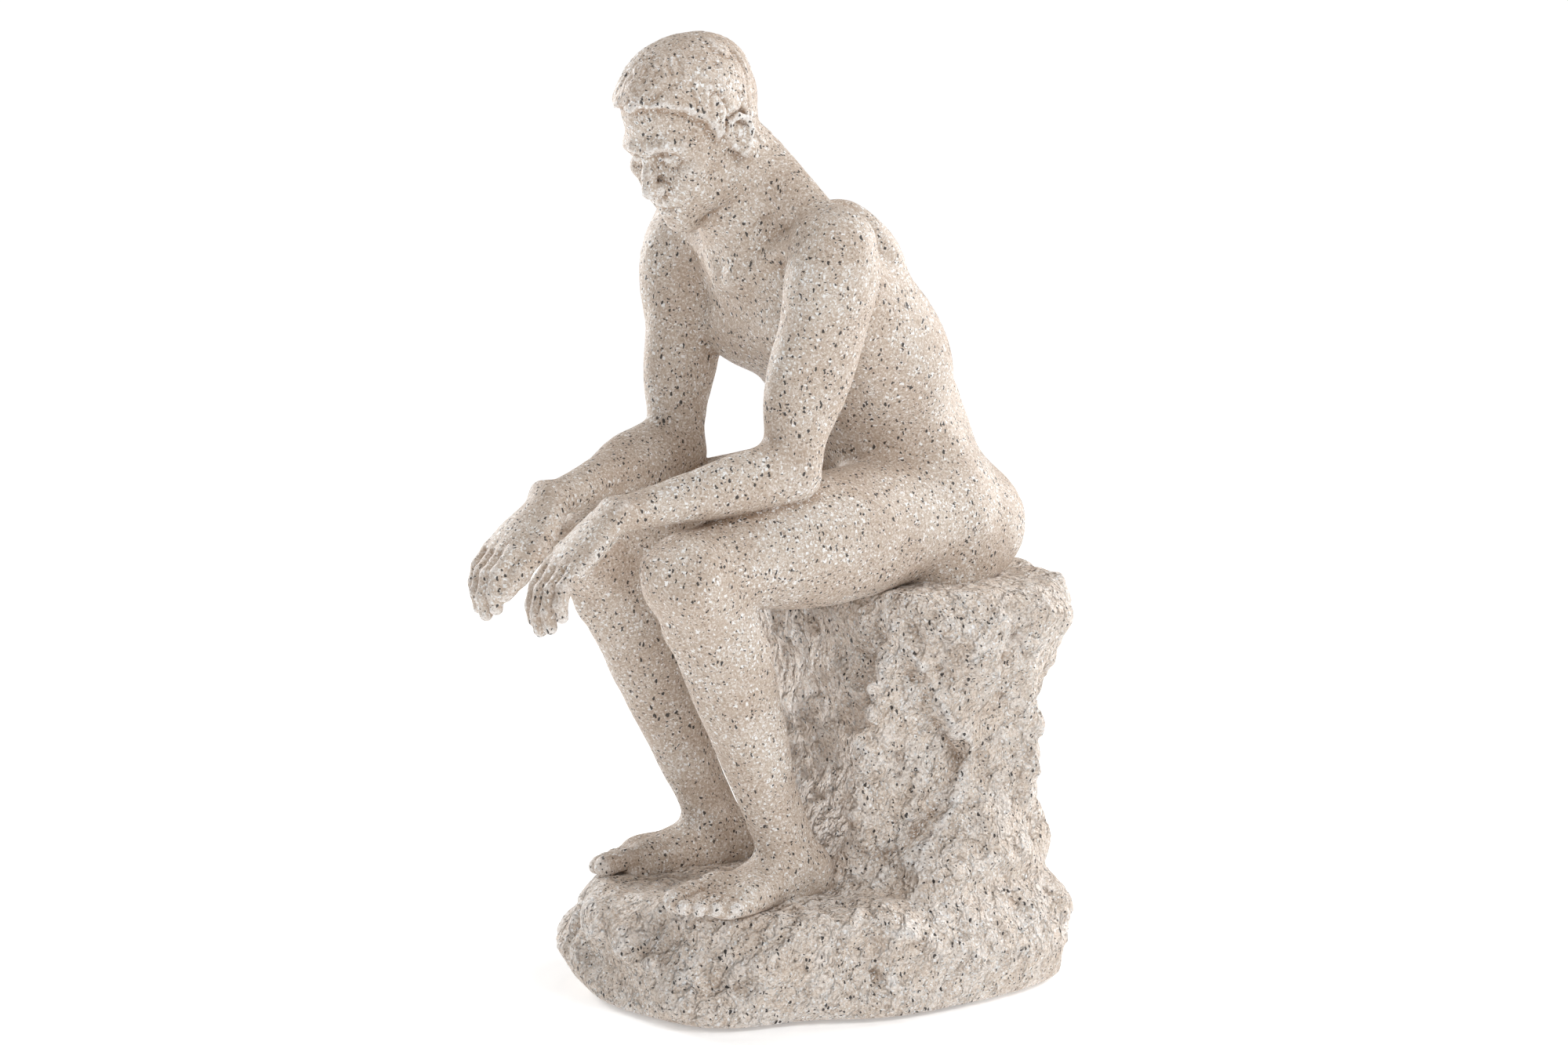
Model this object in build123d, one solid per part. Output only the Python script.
"""Seated thinking figure on a rock: an ornament cast in sections and pinned together with steel dowels.

Millimetres, +Z up. The figure faces -Y and its left side is +X. The origin is on the underside, under the rock.
Every soft form is a loft through elliptical sections, whose sizes are shares of one named size.
"""

from build123d import *
import os
from math import cos, pi, radians, sin

# Heights that the rock sets
FELT_THICKNESS = 2.0
LEDGE_HEIGHT = 57.0
SEAT_HEIGHT = 205.0

# Rock sizes
BASE_HALF_WIDTH = 96.0
BASE_HALF_DEPTH = 123.0
BASE_SET_FORWARD = 6.0
BLOCK_HALF_WIDTH = 84.0
BLOCK_FRONT = 14.0
BLOCK_BACK = 118.0
RIDGE_HALF_WIDTH = 17.0
RIDGE_ROOT_DEPTH = 30.0
ROCK_WALL = 9.0
SEAT_WALL = 18.0
LEDGE_WALL = 15.0
PLATE_RIM = 5.0
PLATE_THICKNESS = 5.0
PLATE_CLEARANCE = 0.3
FELT_INSET = 11.0

# Places of the joints of the body, from the middle plane, from the origin and from the surface below
HIP_SPREAD = 33.0
HIP_SETBACK = 45.0
HIP_RISE = 35.0
LEFT_KNEE_SPREAD = 44.0
RIGHT_KNEE_SPREAD = 48.0
LEFT_KNEE_REACH = 112.0
RIGHT_KNEE_REACH = 107.0
KNEE_RISE = 17.0
LEFT_ANKLE_SPREAD = 37.0
RIGHT_ANKLE_SPREAD = 40.0
LEFT_ANKLE_REACH = 47.0
RIGHT_ANKLE_REACH = 39.0
ANKLE_RISE = 13.0
SHOULDER_SPREAD = 62.0
SHOULDER_REACH = 40.0
SHOULDER_RISE = 167.0
ELBOW_OVERHANG = 11.0
ELBOW_SINK = 2.0
LEFT_WRIST_SPREAD = 32.0
RIGHT_WRIST_SPREAD = 26.0
WRIST_REACH = 146.0
WRIST_RISE = 47.0
HEAD_REACH = 80.0
HEAD_RISE = 227.0

# Body sizes
TORSO_RISE = 190.0
TORSO_REACH = 96.0
CHEST_HALF_WIDTH = 57.0
CHEST_HALF_DEPTH = 38.0
NECK_RADIUS = 22.0
HEAD_HEIGHT = 82.0
HEAD_HALF_WIDTH = 28.0
HAIR_THICKNESS = 2.0
EAR_HEIGHT = 22.0
EAR_RADIUS = 6.5
NOSE_RADIUS = 5.5
THIGH_RADIUS = 33.0
KNEE_RADIUS = 23.5
CALF_RADIUS = 22.0
FOOT_LENGTH = 88.0
FOOT_HALF_WIDTH = 17.0
TOE_RADIUS = 5.0
UPPER_ARM_RADIUS = 20.0
ELBOW_RADIUS = 16.0
FOREARM_RADIUS = 16.0
PALM_LENGTH = 34.0
PALM_HALF_WIDTH = 15.5
FINGER_LENGTH = 30.0
FINGER_RADIUS = 4.4
LEG_GAP = 0.6

# Dowels and their sockets
NECK_DOWEL_DIAMETER = 6.0
NECK_DOWEL_LENGTH = 40.0
SHOULDER_DOWEL_DIAMETER = 6.0
SHOULDER_DOWEL_LENGTH = 30.0
SHOULDER_DOWEL_SPREAD = 52.0
HIP_DOWEL_DIAMETER = 8.0
HIP_DOWEL_LENGTH = 44.0
HIP_DOWEL_SETOUT = 30.0
SEAT_DOWEL_DIAMETER = 8.0
SEAT_DOWEL_LENGTH = 26.0
SEAT_DOWEL_SPREAD = 22.0
FOOT_DOWEL_DIAMETER = 5.0
FOOT_DOWEL_LENGTH = 20.0
SOCKET_CLEARANCE = 0.1
SOCKET_END_CLEARANCE = 0.5

# Limb rows, as shares of the limb's radius: place, half-width, depth to the front, depth to the back
THIGH_SHARES = [
    (0.0, 0.95, 0.92, 0.92),
    (0.25, 1.0, 0.98, 1.0),
    (0.5, 0.94, 0.96, 0.95),
    (0.75, 0.81, 0.84, 0.82),
    (1.0, 0.68, 0.68, 0.66),
]
SHANK_SHARES = [
    (0.0, 0.98, 0.96, 0.96),
    (0.14, 0.98, 0.9, 1.02),
    (0.32, 1.04, 0.86, 1.18),
    (0.48, 0.96, 0.8, 1.08),
    (0.68, 0.74, 0.68, 0.78),
    (0.86, 0.56, 0.58, 0.6),
    (1.0, 0.56, 0.62, 0.66),
]
UPPER_ARM_SHARES = [
    (-0.16, 0.45, 0.45, 0.45),
    (-0.1, 0.88, 0.86, 0.86),
    (0.04, 1.14, 1.14, 1.14),
    (0.24, 1.14, 1.12, 1.1),
    (0.48, 0.94, 1.06, 1.02),
    (0.75, 0.84, 0.98, 0.9),
    (1.0, 0.74, 0.76, 0.78),
]
FOREARM_SHARES = [
    (0.0, 0.92, 0.9, 0.92),
    (0.2, 1.06, 1.0, 1.02),
    (0.45, 0.98, 0.9, 0.92),
    (0.75, 0.78, 0.68, 0.66),
    (1.0, 0.68, 0.5, 0.5),
]
PALM_SHARES = [
    (-0.1, 0.62, 0.45, 0.45),
    (0.2, 0.74, 0.46, 0.44),
    (0.6, 0.98, 0.46, 0.42),
    (0.9, 1.0, 0.4, 0.36),
    (1.05, 0.94, 0.28, 0.26),
]
FOOT_SHARES = [
    (0.0, 0.4, 0.4, 0.5),
    (0.06, 0.7, 0.9, 0.5),
    (0.2, 0.78, 1.45, 0.5),
    (0.34, 0.8, 1.55, 0.5),
    (0.55, 0.98, 1.05, 0.5),
    (0.74, 1.08, 0.68, 0.4),
    (0.86, 1.0, 0.44, 0.3),
]
EAR_SHARES = [(0.0, 0.3, 0.4, 0.4), (0.3, 0.5, 0.75, 0.75), (0.75, 0.55, 1.0, 1.0), (1.0, 0.3, 0.5, 0.5)]
NOSE_SHARES = [(0.0, 0.45, 0.3, 1.2), (0.5, 0.6, 0.5, 1.2), (0.82, 0.95, 0.8, 1.1), (1.0, 0.8, 0.5, 0.9)]

# Digits: place along the digit and radius, then rows of where each digit starts and how long and thick it is
DIGIT_SHARES = [(0.0, 1.0), (0.3, 1.04), (0.55, 1.0), (0.8, 0.86), (0.95, 0.66), (1.0, 0.36)]
FINGER_SHARES = [(0.72, 0.88, 1.0), (0.25, 1.0, 1.05), (-0.22, 0.93, 1.0), (-0.68, 0.74, 0.88)]
TOE_SHARES = [
    (0.62, 0.76, 0.25, 1.3),
    (0.14, 0.79, 0.21, 0.92),
    (-0.22, 0.76, 0.2, 0.88),
    (-0.54, 0.72, 0.18, 0.84),
    (-0.84, 0.66, 0.17, 0.84),
]
THUMB_SHARES = [(0.12, 0.62, 0.0), (0.62, 1.08, 0.3), (1.12, 0.95, 0.62)]
HEEL_SHARE = 0.25

# Torso rows: rise, reach, tilt in degrees, shares of the chest's half-width and half-depth to the front and back,
# then how far the paired masses beside the middle swell at the front and at the back
TORSO_SHARES = [
    (-0.03, 0.0, 0.0, 1.0, 0.93, 0.99, 0.0, 0.06),
    (0.05, 0.0, 1.0, 1.05, 0.96, 1.08, 0.0, 0.28),
    (0.12, 0.0, 3.0, 1.08, 0.99, 1.08, 0.0, 0.33),
    (0.2, 0.005, 8.0, 1.035, 0.97, 0.97, 0.02, 0.33),
    (0.27, 0.02, 14.0, 1.0, 1.05, 0.88, 0.05, 0.2),
    (0.42, 0.12, 26.0, 0.87, 1.0, 0.79, 0.04, 0.2),
    (0.6, 0.375, 34.0, 1.03, 0.99, 0.87, 0.08, 0.18),
    (0.75, 0.62, 38.0, 1.06, 1.02, 0.91, 0.15, 0.22),
    (0.87, 0.81, 42.0, 1.02, 0.81, 0.83, 0.05, 0.16),
    (0.945, 0.915, 46.0, 0.84, 0.66, 0.74, 0.0, 0.05),
]
NECK_TILT = 50.0

# Head rows: height from the chin, then shares of the head's half-width
HEAD_SHARES = [
    (0.0, 0.22, 0.98, -0.62),
    (0.06, 0.46, 1.1, -0.35),
    (0.16, 0.68, 1.16, 0.05),
    (0.28, 0.82, 1.18, 0.55),
    (0.42, 0.93, 1.18, 1.02),
    (0.56, 0.99, 1.2, 1.26),
    (0.7, 1.0, 1.16, 1.34),
    (0.82, 0.93, 1.02, 1.22),
    (0.92, 0.72, 0.76, 0.94),
    (0.98, 0.4, 0.42, 0.54),
    (1.0, 0.1, 0.1, 0.16),
]
HEAD_BOW = 28.0
HEAD_TURN = 8.0
NECK_TOP_SHARE = 0.38
NECK_TOP_SET_BACK_SHARE = 0.3
NECK_TOP_RADIUS_SHARE = 0.92
HAIRLINE_SHARE = 0.74
HAIRLINE_SLOPE = 24.0
EAR_PLACE_SHARE = 0.3
EAR_SET_BACK_SHARE = 0.12
EAR_SPREAD_SHARE = 0.97
BRIDGE_SHARE = 0.55
NOSE_TIP_SHARE = 0.34
BRIDGE_FRONT_SHARE = 1.12
NOSE_TIP_FRONT_SHARE = 1.27

# Rock waves: lobes, drift with height, start and strength. Rock rows: place up the rock, then the outline's sizes
ROCK_CORNERS = 18
ROCK_ROUGHNESS_SHARE = 0.03
ROCK_WAVE_SHARES = [(3, 9.0, 0.0, 1.0), (5, -14.0, 1.0, 1.0), (8, 31.0, 2.0, 0.8)]
BLOCK_ROOT_SHARE = 0.6
BASE_SHARES = [(0.0, 0.97), (0.14, 1.0), (0.5, 1.0), (0.8, 0.975), (1.0, 0.92)]
BASE_SQUARENESS = 0.86
BLOCK_SHARES = [
    (0.0, 1.02, 1.5, 0.9),
    (0.1, 0.98, 1.35, 0.87),
    (0.18, 0.94, 0.95, 0.84),
    (0.28, 0.9, 0.5, 0.82),
    (0.46, 0.86, 0.05, 0.8),
    (0.62, 0.87, 0.1, 0.82),
    (0.78, 0.93, 0.35, 0.88),
    (0.92, 1.0, 0.8, 0.97),
    (1.0, 0.94, 0.5, 0.92),
]
BLOCK_SQUARENESS = 0.62

# Ridge rows: place up to the seat, shares of the block's half-width and front, share of the ridge's own half-width
RIDGE_SHARES = [
    (0.25, 0.54, 1.5, 1.2),
    (0.54, 0.61, 1.6, 1.0),
    (0.78, 0.69, 1.3, 0.9),
    (0.91, 0.74, 0.5, 0.6),
]
RIDGE_EDGE_SHARE = 0.3

# Angles of the hands and feet, in degrees
TOE_OUT = 9.0
PALM_DROP = 38.0
FINGER_DROP = 64.0
FINGERTIP_DROP = 94.0
THIGH_ELBOW_SHARE = 0.66
THIGH_TOP_SHARE = 0.8

LEFT = 1
RIGHT = -1
RING_POINTS = 12
PAIR_PEAK_SHARE = 2.6
UP = Vector(0, 0, 1)
FORWARD = Vector(0, -1, 0)
LEFTWARD = Vector(1, 0, 0)


# Forms that the castings share
def ring(centre, across, front, half_width, fore, aft, fore_pair=0, aft_pair=0):
    """One rounded section, set forward where it is deeper at the front than at the back, and with two swellings
    beside its middle at the front and the back where it has such a pair."""
    middle = centre + front * ((fore - aft) / 2)
    depth = (fore + aft) / 2
    points = []
    for k in range(RING_POINTS):
        a = 2 * pi * k / RING_POINTS
        pair = fore_pair if sin(a) > 0 else aft_pair
        swell = 1 + pair * PAIR_PEAK_SHARE * sin(a) ** 2 * abs(cos(a))
        points.append(middle + (across * (half_width * cos(a)) + front * (depth * sin(a))) * swell)
    return Wire(Spline(*points, periodic=True))


def limb(start, end, front, radius, shares):
    """A form that swells and tapers between two points, with its sections square to the line."""
    axis = (end - start).normalized()
    length = (end - start).length
    across = front.cross(axis).normalized()
    face = axis.cross(across)
    rings = []
    for place, side, fore, aft in shares:
        centre = start + axis * (length * place)
        rings.append(ring(centre, across, face, radius * side, radius * fore, radius * aft))
    return Solid.make_loft(rings)


def digit(points, across, radius):
    """A finger or toe along a bent line of three points, with a rounded tip."""
    path = Spline(*points)
    rings = []
    for place, share in DIGIT_SHARES:
        along = path % place
        side = (across - along * across.dot(along)).normalized()
        size = radius * share
        rings.append(ring(path @ place, side, along.cross(side), size, size, size))
    return Solid.make_loft(rings)


def pitched(direction, degrees):
    """A horizontal direction tipped down by an angle."""
    return direction * cos(radians(degrees)) - UP * sin(radians(degrees))


def turned(direction, degrees):
    """A horizontal direction turned to the figure's left by an angle."""
    return direction.rotate(Axis.Z, degrees)


def joined(pieces):
    """All the pieces as one casting."""
    whole = pieces[0]
    for piece in pieces[1:]:
        whole = whole + piece
    return whole


def below(height):
    """Everything under a height, to cut a casting flat."""
    reach = SEAT_HEIGHT + TORSO_RISE
    return Pos(0, 0, height - reach / 2) * Box(2 * reach, 2 * reach, reach)


def dowel(centre, along, diameter, length):
    """A round steel pin."""
    return Plane(origin=centre, z_dir=along) * Cylinder(diameter / 2, length)


def socket(centre, along, diameter, length):
    """The hole for a pin, a little wider and longer than it."""
    return dowel(centre, along, diameter + 2 * SOCKET_CLEARANCE, length + 2 * SOCKET_END_CLEARANCE)


# Rock, plate and felt
def rough_outline(height, half_width, front, back, squareness, inset):
    """A broken stone outline at one height: a squared ellipse with its corners knocked in and out."""
    level = height / SEAT_HEIGHT
    points = []
    for k in range(ROCK_CORNERS):
        a = 2 * pi * k / ROCK_CORNERS
        waves = [strong * sin(lobes * a + drift * level + start) for lobes, drift, start, strong in ROCK_WAVE_SHARES]
        rough = 1 + ROCK_ROUGHNESS_SHARE * sum(waves)
        x = abs(cos(a)) ** squareness * (half_width * rough - inset)
        y = abs(sin(a)) ** squareness * ((back + front) / 2 * rough - inset)
        middle = (back - front) / 2
        points.append(Vector(x if cos(a) > 0 else -x, middle + (y if sin(a) > 0 else -y), height))
    return Wire.make_polygon(points, close=True)


def base_outline(row, inset):
    """The outline of the rock's foot at one of its levels."""
    place, share = row
    height = FELT_THICKNESS + place * (LEDGE_HEIGHT - FELT_THICKNESS)
    front = (BASE_HALF_DEPTH + BASE_SET_FORWARD) * share
    back = (BASE_HALF_DEPTH - BASE_SET_FORWARD) * share
    return rough_outline(height, BASE_HALF_WIDTH * share, front, back, BASE_SQUARENESS, inset)


def block_outline(row, inset):
    """The outline of the seat block at one of its levels."""
    place, wide, front, back = row
    root = LEDGE_HEIGHT * BLOCK_ROOT_SHARE
    height = root + place * (SEAT_HEIGHT - root)
    reaches = BLOCK_FRONT * front, BLOCK_BACK * back
    return rough_outline(height, BLOCK_HALF_WIDTH * wide, *reaches, BLOCK_SQUARENESS, inset)


def rock_loft(outline, rows, inset):
    """A stone body with a facet between each corner and the next."""
    return Solid.make_loft([outline(row, inset) for row in rows], ruled=True)


def base_sheet(inset, bottom, thickness):
    """A flat sheet with the outline of the rock's underside."""
    face = Face(base_outline(BASE_SHARES[0], inset))
    return extrude(Pos(0, 0, bottom - FELT_THICKNESS) * face, thickness, dir=UP)


def ridge_outline(row):
    """The ridge's section at one level: a blunt edge in front, widening to a root inside the block."""
    place, across, fore, wide = row
    middle = BLOCK_HALF_WIDTH * across
    root = RIDGE_HALF_WIDTH * wide
    edge = root * RIDGE_EDGE_SHARE
    front = -BLOCK_FRONT * fore
    corners = [
        (middle - edge, front),
        (middle + edge, front),
        (middle + root, RIDGE_ROOT_DEPTH),
        (middle - root, RIDGE_ROOT_DEPTH),
    ]
    return Wire.make_polygon([Vector(x, y, SEAT_HEIGHT * place) for x, y in corners], close=True)


def ridge():
    """The wedge of rock that runs from under the seat's left front corner down to the ledge behind the heel."""
    return Solid.make_loft([ridge_outline(row) for row in RIDGE_SHARES], ruled=True)


def rock_plinth():
    """The hollow rock: foot, seat block and ridge, with a rebate for the plate underneath."""
    solid = rock_loft(base_outline, BASE_SHARES, 0) + rock_loft(block_outline, BLOCK_SHARES, 0) + ridge()
    foot_hollow = rock_loft(base_outline, BASE_SHARES, ROCK_WALL) & below(LEDGE_HEIGHT - LEDGE_WALL)
    block_hollow = rock_loft(block_outline, BLOCK_SHARES, ROCK_WALL) & below(SEAT_HEIGHT - SEAT_WALL)
    rebate = base_sheet(PLATE_RIM, FELT_THICKNESS, PLATE_THICKNESS)
    return solid - foot_hollow - block_hollow - rebate


# Trunk and head
def torso_frame(rise, reach, tilt):
    """Where a section of the trunk is, and the way its front faces."""
    centre = Vector(0, HIP_SETBACK - TORSO_REACH * reach, SEAT_HEIGHT + TORSO_RISE * rise)
    return centre, pitched(FORWARD, tilt)


def neck_root():
    """The round section where the neck meets the trunk."""
    centre, front = torso_frame(1, 1, NECK_TILT)
    return ring(centre, LEFTWARD, front, NECK_RADIUS, NECK_RADIUS, NECK_RADIUS)


def torso():
    """Pelvis and trunk, bent forwards and flat on the seat."""
    rings = []
    for rise, reach, tilt, wide, fore, aft, *pairs in TORSO_SHARES:
        centre, front = torso_frame(rise, reach, tilt)
        depths = CHEST_HALF_DEPTH * fore, CHEST_HALF_DEPTH * aft
        rings.append(ring(centre, LEFTWARD, front, CHEST_HALF_WIDTH * wide, *depths, *pairs))
    return Solid.make_loft([*rings, neck_root()]) - below(SEAT_HEIGHT)


def head_axes():
    """The head's middle and its left, front and up directions."""
    heading = turned(FORWARD, HEAD_TURN)
    front = pitched(heading, HEAD_BOW)
    left = UP.cross(heading)
    return Vector(0, -HEAD_REACH, SEAT_HEIGHT + HEAD_RISE), left, front, left.cross(front * -1)


def skull(rows, extra):
    """The head through its rows, with an even extra thickness."""
    middle, left, front, up = head_axes()
    rings = []
    for height, wide, fore, aft in rows:
        centre = middle + up * (HEAD_HEIGHT * (height - 0.5))
        sizes = [HEAD_HALF_WIDTH * share + extra for share in (wide, fore, aft)]
        rings.append(ring(centre, left, front, *sizes))
    return Solid.make_loft(rings)


def head_point(height, side, fore):
    """A place on the head, as shares of its height and half-width."""
    middle, left, front, up = head_axes()
    across = left * (HEAD_HALF_WIDTH * side) + front * (HEAD_HALF_WIDTH * fore)
    return middle + up * (HEAD_HEIGHT * (height - 0.5)) + across


def hair():
    """A close cap of hair above a sloping hairline."""
    middle, left, front, up = head_axes()
    slope = radians(HAIRLINE_SLOPE)
    above = (up * cos(slope) - front * sin(slope)).normalized()
    hairline = Plane(origin=head_point(HAIRLINE_SHARE, 0, 1), x_dir=left, z_dir=above)
    side = 2 * HEAD_HEIGHT
    return skull(HEAD_SHARES[3:], HAIR_THICKNESS) & hairline * Pos(0, 0, side / 2) * Box(side, side, side)


def ear(side):
    """One ear, flat against the head."""
    middle, left, front, up = head_axes()
    foot = head_point(EAR_PLACE_SHARE, side * EAR_SPREAD_SHARE, -EAR_SET_BACK_SHARE)
    return limb(foot, foot + up * EAR_HEIGHT, front, EAR_RADIUS, EAR_SHARES)


def head():
    """Neck, skull, hair, nose and ears."""
    middle, left, front, up = head_axes()
    throat = head_point(NECK_TOP_SHARE, 0, -NECK_TOP_SET_BACK_SHARE)
    size = NECK_RADIUS * NECK_TOP_RADIUS_SHARE
    neck = Solid.make_loft([neck_root(), ring(throat, left, front, size, size, size)])
    bridge = head_point(BRIDGE_SHARE, 0, BRIDGE_FRONT_SHARE)
    nose = limb(bridge, head_point(NOSE_TIP_SHARE, 0, NOSE_TIP_FRONT_SHARE), front, NOSE_RADIUS, NOSE_SHARES)
    return joined([skull(HEAD_SHARES, 0), neck, hair(), nose, ear(LEFT), ear(RIGHT)])


# Legs
def hip(side):
    """A hip joint."""
    return Vector(side * HIP_SPREAD, HIP_SETBACK, SEAT_HEIGHT + HIP_RISE)


def knee(side):
    """A knee joint."""
    spread, reach = (LEFT_KNEE_SPREAD, LEFT_KNEE_REACH) if side == LEFT else (RIGHT_KNEE_SPREAD, RIGHT_KNEE_REACH)
    return Vector(side * spread, -reach, SEAT_HEIGHT + KNEE_RISE)


def sole(side):
    """The place on the ledge right under an ankle."""
    left_place = LEFT_ANKLE_SPREAD, LEFT_ANKLE_REACH
    spread, reach = left_place if side == LEFT else (RIGHT_ANKLE_SPREAD, RIGHT_ANKLE_REACH)
    return Vector(side * spread, -reach, LEDGE_HEIGHT)


def foot(side):
    """A bare foot with its toes, flat on the ledge."""
    heading = turned(FORWARD, side * TOE_OUT)
    inner = UP.cross(heading) * -side
    heel = sole(side) - heading * (FOOT_LENGTH * HEEL_SHARE)
    pieces = [limb(heel, heel + heading * FOOT_LENGTH, UP, FOOT_HALF_WIDTH, FOOT_SHARES)]
    for place, start, length, thick in TOE_SHARES:
        radius = TOE_RADIUS * thick
        root = heel + heading * (FOOT_LENGTH * start) + inner * (FOOT_HALF_WIDTH * place) + UP * radius
        tip = root + heading * (FOOT_LENGTH * length) - UP * (radius / 4)
        pieces.append(digit([root, (root + tip) / 2 + UP * (radius / 4), tip], inner, radius))
    return joined(pieces)


def leg(side, trunk, rock):
    """Thigh, knee, shank and foot, fitted to the trunk and to the rock."""
    ankle = sole(side) + UP * ANKLE_RISE
    thigh = limb(hip(side), knee(side), UP, THIGH_RADIUS, THIGH_SHARES)
    shank = limb(knee(side), ankle, FORWARD, CALF_RADIUS, SHANK_SHARES)
    cap = Pos(*knee(side)) * Sphere(KNEE_RADIUS)
    whole = joined([thigh, cap, shank, foot(side)])
    reach = SEAT_HEIGHT + TORSO_RISE
    other_side = Pos(side * (LEG_GAP / 2 - reach / 2), 0, 0) * Box(reach, 2 * reach, 2 * reach)
    return whole - other_side - below(LEDGE_HEIGHT) - trunk - rock


# Arms
def shoulder(side):
    """A shoulder joint."""
    return Vector(side * SHOULDER_SPREAD, -SHOULDER_REACH, SEAT_HEIGHT + SHOULDER_RISE)


def elbow(side):
    """An elbow, propped on its own thigh."""
    rest = hip(side) + (knee(side) - hip(side)) * THIGH_ELBOW_SHARE
    rise = THIGH_RADIUS * THIGH_TOP_SHARE + ELBOW_RADIUS - ELBOW_SINK
    return rest + LEFTWARD * (side * ELBOW_OVERHANG) + UP * rise


def wrist(side):
    """A wrist, just past its own knee."""
    spread = LEFT_WRIST_SPREAD if side == LEFT else RIGHT_WRIST_SPREAD
    return Vector(side * spread, -WRIST_REACH, SEAT_HEIGHT + WRIST_RISE)


def hand(side):
    """A hand that hangs from the wrist, with its thumb on the inner side."""
    palm_way = pitched(FORWARD, PALM_DROP)
    inner = LEFTWARD * -side
    root = wrist(side)
    knuckles = root + palm_way * PALM_LENGTH
    back = palm_way.cross(LEFTWARD) * -1
    pieces = [limb(root, knuckles, back, PALM_HALF_WIDTH, PALM_SHARES)]
    for place, length, thick in FINGER_SHARES:
        start = knuckles + inner * (PALM_HALF_WIDTH * place)
        bend = start + pitched(FORWARD, FINGER_DROP) * (FINGER_LENGTH * length / 2)
        tip = bend + pitched(FORWARD, FINGERTIP_DROP) * (FINGER_LENGTH * length / 2)
        pieces.append(digit([start, bend, tip], inner, FINGER_RADIUS * thick))
    thumb = [
        root + palm_way * (PALM_LENGTH * along) + inner * (PALM_HALF_WIDTH * out) - UP * (PALM_HALF_WIDTH * drop)
        for along, out, drop in THUMB_SHARES
    ]
    return joined([*pieces, digit(thumb, back, FINGER_RADIUS)])


def arm(side, trunk, own_leg):
    """Upper arm, elbow, forearm and hand, fitted to the trunk and to the thigh that carries it."""
    upper = limb(shoulder(side), elbow(side), FORWARD, UPPER_ARM_RADIUS, UPPER_ARM_SHARES)
    fore = limb(elbow(side), wrist(side), UP, FOREARM_RADIUS, FOREARM_SHARES)
    point = Pos(*elbow(side)) * Sphere(ELBOW_RADIUS)
    return joined([upper, point, fore, hand(side)]) - trunk - own_leg


# Castings, then the pins between them, then the pieces underneath
def castings():
    """The sections as they leave the mould and are fitted to each other."""
    rock = rock_plinth()
    trunk = torso()
    legs = {side: leg(side, trunk, rock) for side in (LEFT, RIGHT)}
    return {
        "rock_plinth": rock,
        "torso": trunk,
        "head": head(),
        "left_leg": legs[LEFT],
        "right_leg": legs[RIGHT],
        "left_arm": arm(LEFT, trunk, legs[LEFT]),
        "right_arm": arm(RIGHT, trunk, legs[RIGHT]),
    }


def pins():
    """Each dowel's place, direction and size, and the two castings that hold it."""
    neck_place, neck_front = torso_frame(1, 1, NECK_TILT)
    neck_size = NECK_DOWEL_DIAMETER, NECK_DOWEL_LENGTH
    made = {"neck_dowel": (neck_place, LEFTWARD.cross(neck_front * -1), *neck_size, "torso", "head")}
    for side, name in ((LEFT, "left"), (RIGHT, "right")):
        socket_place = shoulder(side) + LEFTWARD * (side * (SHOULDER_DOWEL_SPREAD - SHOULDER_SPREAD))
        shoulder_size = SHOULDER_DOWEL_DIAMETER, SHOULDER_DOWEL_LENGTH
        made[f"{name}_shoulder_dowel"] = (socket_place, LEFTWARD, *shoulder_size, "torso", f"{name}_arm")
        thigh_way = (knee(side) - hip(side)).normalized()
        hip_place = hip(side) + thigh_way * HIP_DOWEL_SETOUT
        hip_size = HIP_DOWEL_DIAMETER, HIP_DOWEL_LENGTH
        made[f"{name}_hip_dowel"] = (hip_place, thigh_way, *hip_size, "torso", f"{name}_leg")
        seat_place = Vector(side * SEAT_DOWEL_SPREAD, HIP_SETBACK, SEAT_HEIGHT)
        seat_size = SEAT_DOWEL_DIAMETER, SEAT_DOWEL_LENGTH
        made[f"{name}_seat_dowel"] = (seat_place, UP, *seat_size, "torso", "rock_plinth")
        foot_size = FOOT_DOWEL_DIAMETER, FOOT_DOWEL_LENGTH
        made[f"{name}_foot_dowel"] = (sole(side), UP, *foot_size, f"{name}_leg", "rock_plinth")
    return made


def assembly():
    """Every piece by its name."""
    pieces = castings()
    for name, (place, along, diameter, length, *holders) in pins().items():
        for holder in holders:
            pieces[holder] = pieces[holder] - socket(place, along, diameter, length)
        pieces[name] = dowel(place, along, diameter, length)
    pieces["base_plate"] = base_sheet(PLATE_RIM + PLATE_CLEARANCE, FELT_THICKNESS, PLATE_THICKNESS)
    pieces["base_felt"] = base_sheet(FELT_INSET, 0, FELT_THICKNESS)
    return pieces


os.makedirs("parts", exist_ok=True)
for node, piece in assembly().items():
    export_step(piece, f"parts/{node}.step")
